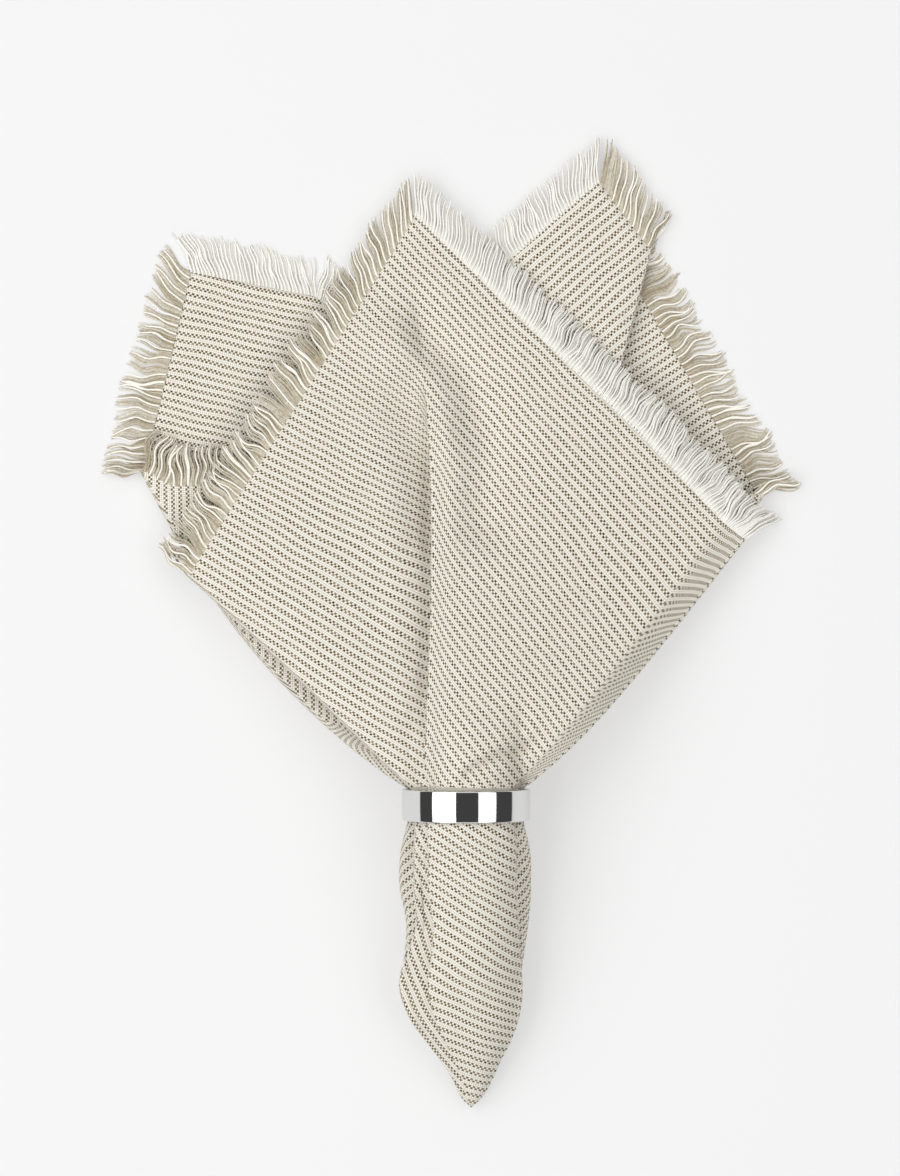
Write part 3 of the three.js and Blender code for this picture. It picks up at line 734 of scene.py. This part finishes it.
# piece, replaced solid, slot, hem length from and to, droop, yarns' lean by the share of the way
fringeRuns = (
    ("threads_front_left", "fringe_front_left", "beige_yarn", 1799, 1640, 3.2,
        ((0, 1.6), (0.25, 0.6), (0.85, 0.2), (1, 0.1))),
    ("threads_front_right", "fringe_front_right", "cream_yarn", 1, 215, 2.4,
        ((0, -1), (0.25, -0.35), (0.7, -0.15), (0.78, 0.7), (0.82, 0.7), (0.9, -0.4), (1, -0.3))),
    ("threads_left_flap_side", "fringe_left_flap_side", "beige_yarn", 1351, 1422, 0.4,
        ((0, -0.65), (0.25, -0.3), (1, 0.5))),
    ("threads_left_triangle", "fringe_left_triangle", "beige_yarn", 1424, 1512, 2.0, ((0, 0), (1, 0))),
    ("threads_left_flap_top", "fringe_left_flap_top", "cream_yarn", 1349, 1280, 0.4,
        ((0, 1), (0.25, 0.5), (1, 0.2))),
    ("threads_right_flap_top", "fringe_right_flap_top", "cream_yarn", 901, 975, 1.5,
        ((0, -1.1), (0.25, -0.5), (1, -0.3))),
    ("threads_right_flap_side", "fringe_right_flap_side", "beige_yarn", 899, 866, 1.5,
        ((0, 1.3), (0.25, 0.8), (1, 0.7))),
    ("threads_back_right", "fringe_back_right", "beige_yarn", 846, 738, 0.6,
        ((0, 0.15), (0.25, -0.1), (0.75, -0.35), (1, -0.05))),
)


def softNoise(at, step, random):
    # even random wander along a line
    knots = np.arange(at.min() - 2 * step, at.max() + 3 * step, step)
    return np.interp(at, knots, random.normal(0, 1, len(knots)))


def threadGuides(run, random):
    # middle lines of a run's yarns, with thickness and tone at each point
    slot, start, stop, droop, leans = run[2:]
    kind, lock = fringe["kinds"][slot], fringe["lock"]
    count = int(abs(stop - start) / fringe["pitch"])
    at = np.linspace(start, stop, count) + random.normal(0, fringe["rootStray"], count)
    order = np.argsort(clothCol["hemAt"])
    hem, inside = clothPlaces[-1][order], clothPlaces[-3][order]
    knots = clothCol["hemAt"][order]
    # yarns in the turn of a fold lie as the last one before it
    straight = np.interp(at, knots, clothCol["folded"][order]) < 0.5
    source = np.maximum.accumulate(np.where(straight, np.arange(count), np.argmax(straight)))
    root = np.stack([np.interp(at, knots, hem[:, i]) for i in range(3)], 1)
    back = np.stack([np.interp(at, knots, inside[:, i]) for i in range(3)], 1)
    ahead = np.stack([np.interp(at + 1, knots, hem[:, i]) for i in range(3)], 1)
    along = ahead - root
    along /= np.linalg.norm(along, axis=1)[:, None] + 1e-9
    out = root - back
    out -= along * np.sum(out * along, axis=1)[:, None]
    out /= np.linalg.norm(out, axis=1)[:, None]
    along, out = along[source], out[source]

    # yarns of a lock wave together
    lean = np.interp(np.linspace(0, 1, count), *zip(*leans))
    lean = lean + kind["leanSpread"] * softNoise(at, lock, random)
    lean = lean + random.normal(0, fringe["leanStray"], count)
    wave = kind["wave"] * (1 + fringe["waveSpread"] * softNoise(at, lock, random))
    wave = wave * random.normal(1, fringe["waveStray"], count)
    phase = fringe["phaseSpread"] * softNoise(at, lock, random)
    phase = phase + random.normal(0, fringe["phaseStray"], count)
    period = kind["wavelength"] * (1 + fringe["periodSpread"] * softNoise(at, lock, random))
    length = fringe["length"] * (1 + fringe["lengthSpread"] * softNoise(at, lock, random))
    length = length * random.normal(1, fringe["lengthStray"], count)
    length = length / (1 + lean * lean) ** fringe["leanTrim"]
    lockNumber = np.floor(at / lock + fringe["lockSpread"] * softNoise(at, 2 * lock, random))
    lockMiddle = np.array([at[lockNumber == n].mean() for n in lockNumber])
    gather = random.uniform(*kind["gather"], count)

    yarnNumber = np.arange(count)
    if slot == "beige_yarn":  # the cream yarns come out of the cream stripes
        yarnNumber = np.floor((hemFlat(at)[0] + cloth["side"] / 2) / fringe["pitch"])
    onTop = yarnNumber % kind["topEvery"] == 0
    topTone, lowTone = [random.uniform(*kind[key], count) for key in ("topTone", "lowTone")]
    tone = np.where(onTop, topTone, lowTone)
    rise = np.where(onTop, kind["topRise"], random.uniform(*kind["lowRise"], count))
    radius = np.where(onTop, kind["topRadius"], kind["lowRadius"])
    radius = radius * random.normal(1, fringe["radiusStray"], count)

    share = np.linspace(0, 1, fringe["points"])[None, :]
    reach = -fringe["inset"] + share * (length[:, None] + fringe["inset"])
    side = lean[:, None] * length[:, None] * share ** fringe["leanCurl"]
    side = side + (lockMiddle - at)[:, None] * gather[:, None] * share ** fringe["gatherCurl"]
    turn = 2 * np.pi * reach / period[:, None] + phase[:, None]
    swing = wave[:, None] * (np.sin(turn) - np.sin(phase)[:, None])
    side = side + swing * np.minimum(1, share / fringe["waveFull"])
    line = root[:, None] + out[:, None] * reach[..., None] + along[:, None] * side[..., None]
    line[..., 2] += rise[:, None] * np.minimum(share / fringe["riseFull"], 1) - droop * share**2
    lowest, kept = fringe["lowest"]
    line[..., 2] = np.maximum(line[..., 2], lowest + rise[:, None] * kept)
    thick = radius[:, None] * (1 - fringe["taper"] * share**3)
    tone = np.clip(tone[:, None] + fringe["paleEnds"] * share**3, 0, 1)
    return line, thick, tone


def threadTree():
    # tubes along the yarns' middle lines
    tree = bpy.data.node_groups.new("yarnTubes", "GeometryNodeTree")
    tree.interface.new_socket("Geometry", in_out="INPUT", socket_type="NodeSocketGeometry")
    sides = tree.interface.new_socket("Sides", in_out="INPUT", socket_type="NodeSocketInt")
    yarn = tree.interface.new_socket("Yarn", in_out="INPUT", socket_type="NodeSocketMaterial")
    tree.interface.new_socket("Geometry", in_out="OUTPUT", socket_type="NodeSocketGeometry")
    given = addNode(tree, "NodeGroupInput")
    curve = addNode(tree, "GeometryNodeMeshToCurve", {"Mesh": given.outputs["Geometry"]})
    thick = addNode(tree, "GeometryNodeInputNamedAttribute", {"Name": "thick"}, data_type="FLOAT")
    circle = {"Resolution": given.outputs["Sides"], "Radius": 1.0}
    circle = addNode(tree, "GeometryNodeCurvePrimitiveCircle", circle)
    tube = {"Curve": curve.outputs[0], "Profile Curve": circle.outputs[0], "Scale": thick.outputs[0]}
    tube = addNode(tree, "GeometryNodeCurveToMesh", {**tube, "Fill Caps": True})
    shade = addNode(tree, "GeometryNodeSetShadeSmooth", {"Geometry": tube.outputs[0]})
    real = addNode(tree, "GeometryNodeRealizeInstances", {"Geometry": shade.outputs[0]})
    dyed = {"Geometry": real.outputs[0], "Material": given.outputs["Yarn"]}
    dyed = addNode(tree, "GeometryNodeSetMaterial", dyed)
    addNode(tree, "NodeGroupOutput", {"Geometry": dyed.outputs[0]})
    return tree, sides.identifier, yarn.identifier


def yarnMaterial(kind):
    # loose cotton yarn: matt and fluffy, each yarn its own tone
    material, tree, sockets = newMaterial(kind["finish"], fringe["surface"])
    tone = addNode(tree, "ShaderNodeAttribute", attribute_name="tone")
    place = addNode(tree, "ShaderNodeTexCoord")
    fluff = {"Vector": place.outputs["Object"], "Scale": 1 / (fringe["fluff"] * mm), "Detail": 2}
    fluff = addNode(tree, "ShaderNodeTexNoise", fluff)
    most = fringe["fluffShade"]
    shade = {0: fluff.outputs[0], 1: noiseFrom, 2: noiseTo, 3: -most, 4: most}
    shade = addNode(tree, "ShaderNodeMapRange", shade)
    share = {0: tone.outputs["Fac"], 1: shade.outputs[0]}
    share = addNode(tree, "ShaderNodeMath", share, operation="ADD", use_clamp=True)
    colour = {0: share.outputs[0], 6: hexColour(kind["dark"]), 7: hexColour(kind["pale"])}
    colour = addNode(tree, "ShaderNodeMix", colour, data_type="RGBA")
    tree.links.new(colour.outputs[2], sockets["Base Color"])
    bump = {"Strength": fringe["fluffStrength"], "Distance": fringe["fluffBump"] * mm}
    bump = addNode(tree, "ShaderNodeBump", {"Height": fluff.outputs[0], **bump})
    tree.links.new(bump.outputs[0], sockets["Normal"])
    return material


def buildFringe():
    random = np.random.default_rng(fringe["seed"])
    tree, sidesKey, yarnKey = threadTree()
    yarns = {slot: yarnMaterial(kind) for slot, kind in fringe["kinds"].items()}
    pieces = []
    for run in fringeRuns:
        name, node, slot = run[:3]
        line, thick, tone = threadGuides(run, random)
        count, points = line.shape[:2]
        mesh = bpy.data.meshes.new(name)
        edges = [(i * points + j, i * points + j + 1) for i in range(count) for j in range(points - 1)]
        mesh.from_pydata(line.reshape(-1, 3) * mm, edges, [])
        for key, values in (("thick", thick * mm), ("tone", tone)):
            layer = mesh.attributes.new(key, "FLOAT", "POINT")
            layer.data.foreach_set("value", values.astype(np.float32).ravel())
        piece = bpy.data.objects.new(name, mesh)
        bpy.context.scene.collection.objects.link(piece)
        tubes = piece.modifiers.new("tubes", "NODES")
        tubes.node_group = tree
        tubes[sidesKey] = fringe["sides"]
        tubes[yarnKey] = yarns[slot]
        plainMesh(piece)
        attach(piece, "root")
        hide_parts(node)
        pieces.append(piece)
        print("fringe", name, count, "yarns", len(piece.data.polygons), "faces")
    return pieces


fringePieces = buildFringe()


# Ring
ring = {
    "outer": 22.5,
    "wall": 1.2,
    "width": 11,
    "edge": 0.45,  # rounded rim
    "edgeSteps": 4,
    "segments": 192,
    "metal": "#dcdcdb",
    "roughness": (0.03, 0.075),
    "lineLength": 50 / 3,  # polishing lines
    "lineWidth": 0.25,
}


def chromePlate():
    # polished chrome plate: mirror bright, faint polishing lines round the band
    surface = {"Base Color": hexColour(ring["metal"]), "Metallic": 1}
    material, tree, sockets = newMaterial("polished chrome plate", surface)
    place = addNode(tree, "ShaderNodeTexCoord")
    around, across = 1 / (ring["lineLength"] * mm), 1 / (ring["lineWidth"] * mm)
    lines = {"Vector": place.outputs["Object"], "Scale": (around, across, around)}
    lines = addNode(tree, "ShaderNodeMapping", lines)
    lines = addNode(tree, "ShaderNodeTexNoise", {"Vector": lines.outputs[0], "Scale": 1, "Detail": 3})
    smoothest, roughest = ring["roughness"]
    rough = {0: lines.outputs[0], 1: noiseFrom, 2: noiseTo, 3: smoothest, 4: roughest}
    rough = addNode(tree, "ShaderNodeMapRange", rough)
    tree.links.new(rough.outputs[0], sockets["Roughness"])
    return material


def buildRing():
    outer, half, edge = ring["outer"], ring["width"] / 2, ring["edge"]
    inner = outer - ring["wall"]
    corners = (
        (outer - edge, half - edge, 0),
        (inner + edge, half - edge, 90),
        (inner + edge, edge - half, 180),
        (outer - edge, edge - half, 270),
    )
    profile = []
    for r, y, turn in corners:
        for a in np.radians(np.linspace(turn, turn + 90, ring["edgeSteps"] + 1)):
            profile.append((r + edge * math.cos(a), y + edge * math.sin(a)))
    count, segments = len(profile), ring["segments"]
    points, faces = [], []
    for s in range(segments):
        a = 2 * math.pi * s / segments
        points += [(r * math.sin(a), y, outer - r * math.cos(a)) for r, y in profile]
        here, there = s * count, (s + 1) % segments * count
        for i in range(count):
            j = (i + 1) % count
            faces.append((here + i, here + j, there + j, there + i))
    piece = meshPiece("napkin_ring_band", points, faces, chromePlate())
    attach(piece, "root")
    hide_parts("napkin_ring")


buildRing()
print("ring ready")

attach(clothPiece, "root")
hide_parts("napkin_cloth")
